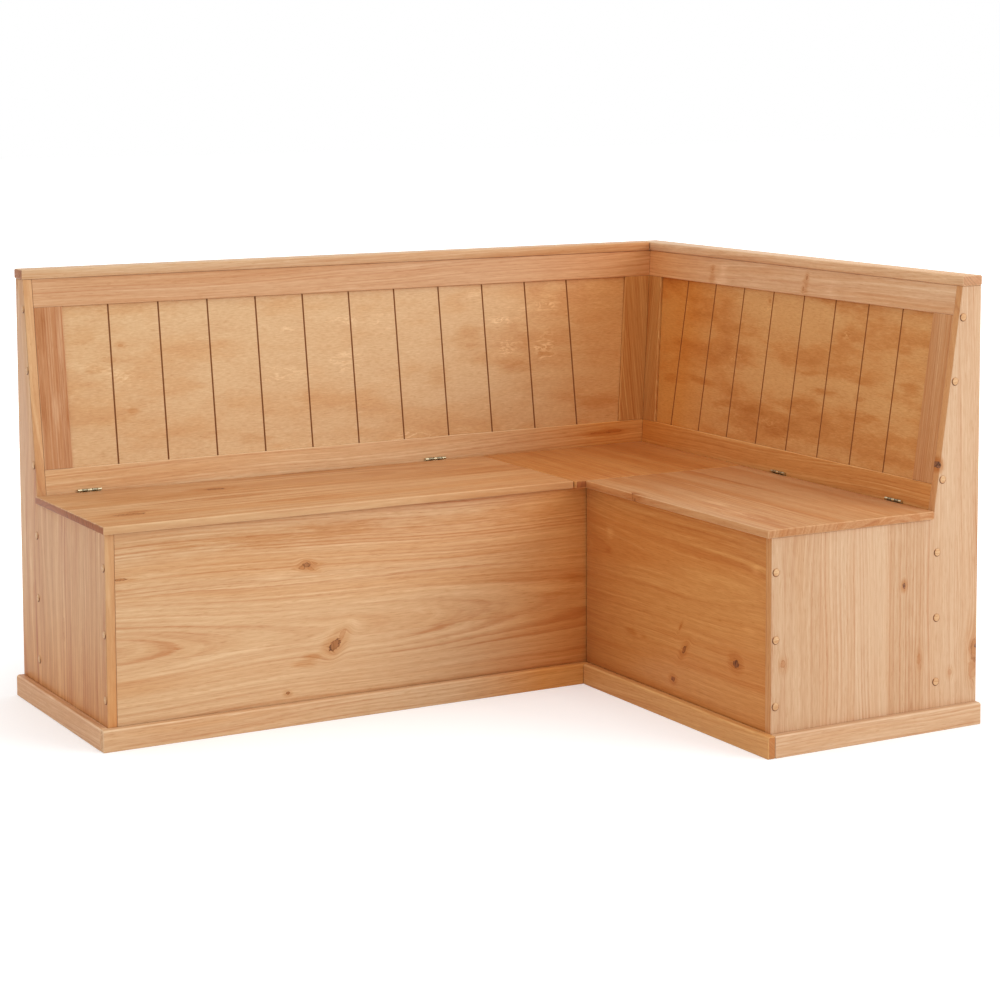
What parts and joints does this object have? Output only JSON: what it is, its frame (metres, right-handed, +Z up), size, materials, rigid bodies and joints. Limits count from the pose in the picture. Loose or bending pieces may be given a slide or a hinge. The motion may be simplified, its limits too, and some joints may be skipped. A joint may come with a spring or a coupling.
{
  "type": "corner storage bench",
  "caption": "L-shaped pine storage bench with hinged seat lids over two chests, a fixed corner seat and leaning frame-and-panel backrests.",
  "frame": {"origin": "middle of the bench's outer box, on the floor", "axes": "+X along the long wing from its end panel to the corner, +Y towards the wall behind the long wing, +Z up"},
  "size_m": [1.5714, 1.1764, 0.8853],
  "materials": {
    "pine_end_panel": "satin lacquered pine, glued boards with upright grain",
    "pine_front": "satin lacquered pine, glued boards with level grain and knots",
    "pine_seat": "satin lacquered pine, glued boards",
    "pine_frame": "satin lacquered pine, plain strips",
    "grooved_veneer": "satin lacquered pine-faced sheet with V grooves",
    "pine_inside": "matt pine",
    "floor_sheet": "matt thin sheet",
    "pine_plug": "satin lacquered turned wood",
    "hinge_metal": "polished plated steel"
  },
  "bodies": {
    "carcass": {"end_panel_left": "pine_end_panel", "front_panel_long": "pine_front", "chest_back_long": "pine_inside", "partition_long": "pine_inside", "chest_floor_long": "floor_sheet", "plinth_end_left": "pine_front", "plinth_front_long": "pine_front", "cap_rail_long": "pine_frame", "top_rail_long": "pine_frame", "bottom_rail_long": "pine_frame", "outer_stile_long": "pine_frame", "corner_stile_long": "pine_frame", "grooved_panel_long": "grooved_veneer", "hinge_leaf_fixed_long_outer": "hinge_metal", "hinge_leaf_fixed_long_inner": "hinge_metal", "plug_left_1": "pine_plug", "plug_left_2": "pine_plug", "plug_left_3": "pine_plug", "plug_left_4": "pine_plug", "plug_left_5": "pine_plug", "plug_left_6": "pine_plug", "plug_left_7": "pine_plug", "plug_left_8": "pine_plug", "plug_left_9": "pine_plug", "end_panel_right": "pine_end_panel", "front_panel_short": "pine_front", "chest_back_short": "pine_inside", "partition_short": "pine_inside", "chest_floor_short": "floor_sheet", "plinth_end_right": "pine_front", "plinth_front_short": "pine_front", "cap_rail_short": "pine_frame", "top_rail_short": "pine_frame", "bottom_rail_short": "pine_frame", "outer_stile_short": "pine_frame", "corner_stile_short": "pine_frame", "grooved_panel_short": "grooved_veneer", "hinge_leaf_fixed_short_outer": "hinge_metal", "hinge_leaf_fixed_short_inner": "hinge_metal", "plug_right_1": "pine_plug", "plug_right_2": "pine_plug", "plug_right_3": "pine_plug", "plug_right_4": "pine_plug", "plug_right_5": "pine_plug", "plug_right_6": "pine_plug", "plug_right_7": "pine_plug", "plug_right_8": "pine_plug", "plug_right_9": "pine_plug", "corner_seat": "pine_seat", "corner_batten_long": "pine_inside", "corner_batten_short": "pine_inside"},
    "long_lid": {"lid_long": "pine_seat", "hinge_leaf_lid_long_outer": "hinge_metal", "hinge_leaf_lid_long_inner": "hinge_metal"},
    "short_lid": {"lid_short": "pine_seat", "hinge_leaf_lid_short_outer": "hinge_metal", "hinge_leaf_lid_short_inner": "hinge_metal"}
  },
  "joints": [
    {"name": "long_lid_hinge", "type": "hinge", "parent": "carcass", "child": "long_lid", "pos_m": [-0.26085, 0.47657, 0.4348], "axis": [-1, 0, 0], "range_deg": [0, 98]},
    {"name": "short_lid_hinge", "type": "hinge", "parent": "carcass", "child": "short_lid", "pos_m": [0.67407, -0.25285, 0.4348], "axis": [0, 1, 0], "range_deg": [0, 98]}
  ]
}
